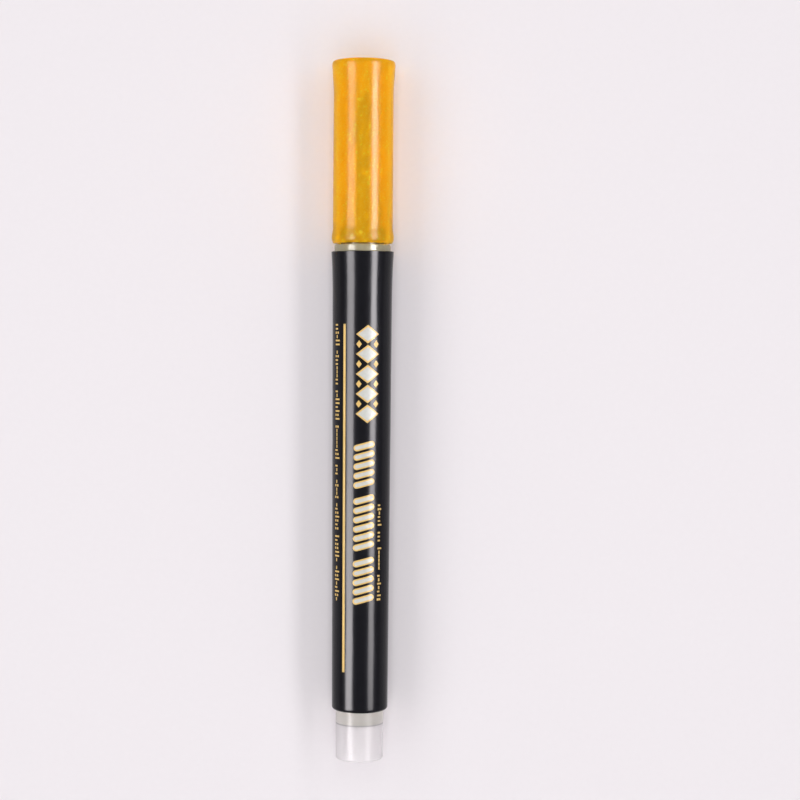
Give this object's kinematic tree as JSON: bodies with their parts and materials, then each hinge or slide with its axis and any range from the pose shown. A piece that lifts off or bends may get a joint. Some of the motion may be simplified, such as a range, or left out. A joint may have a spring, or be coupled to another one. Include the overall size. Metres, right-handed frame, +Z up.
{
  "type": "calligraphy marker",
  "caption": "Slim capped marker with an amber push-on cap, clear barrel in a printed black film sleeve, clear hollow tail plug and a valve-fed bullet nib.",
  "frame": {"origin": "under the middle of the pen's length, on the surface it lies on", "axes": "+Y along the pen's axis towards the cap's closed end, +Z up from the surface it lies on, +X across the pen"},
  "size_m": [0.0126, 0.14, 0.0126],
  "materials": {
    "cap_amber": "glossy translucent amber with fine glitter",
    "natural_polyethylene": "satin, milky translucent",
    "nib_fibre": "matt pressed fibre, dark with ink",
    "grey_plastic": "satin moulded, grey",
    "steel": "bright polished",
    "clear_plastic": "glossy, clear with a faint haze",
    "black_film": "glossy black film with a gold and cream printed motif"
  },
  "bodies": {
    "barrel": {"barrel": "clear_plastic", "printed_sleeve": "black_film", "end_plug": "clear_plastic", "front_section": "natural_polyethylene", "valve_seat": "natural_polyethylene", "valve_cage": "natural_polyethylene", "valve_spring": "steel"},
    "nib": {"nib": "nib_fibre"},
    "valve_stem": {"valve_stem": "grey_plastic"},
    "mixing_ball": {"mixing_ball": "steel"},
    "cap_seal": {"inner_cap": "natural_polyethylene"},
    "cap": {"cap_shell": "cap_amber"}
  },
  "joints": [
    {"name": "nib_press", "type": "slide", "parent": "barrel", "child": "nib", "axis": [0, -1, 0], "range_m": [0, 0.0018]},
    {"name": "valve_lift", "type": "slide", "parent": "barrel", "child": "valve_stem", "axis": [0, -1, 0], "range_m": [0, 0.0018], "stiffness_N_per_m": 400, "springref_m": -0.004, "deforming": ["valve_spring"]},
    {"name": "ball_roll", "type": "slide", "parent": "barrel", "child": "mixing_ball", "axis": [0, 1, 0], "range_m": [-0.0055, 0.0594]},
    {"name": "cap_pull", "type": "slide", "parent": "barrel", "child": "cap_seal", "axis": [0, 1, 0], "range_m": [0, 0.045]},
    {"name": "cap_twist", "type": "hinge", "parent": "cap_seal", "child": "cap", "pos_m": [0, 0.05, 0.00628], "axis": [0, 1, 0], "continuous": true}
  ],
  "couplings": [
    {"joint": "valve_lift", "follows": "nib_press", "ratio": 1}
  ]
}
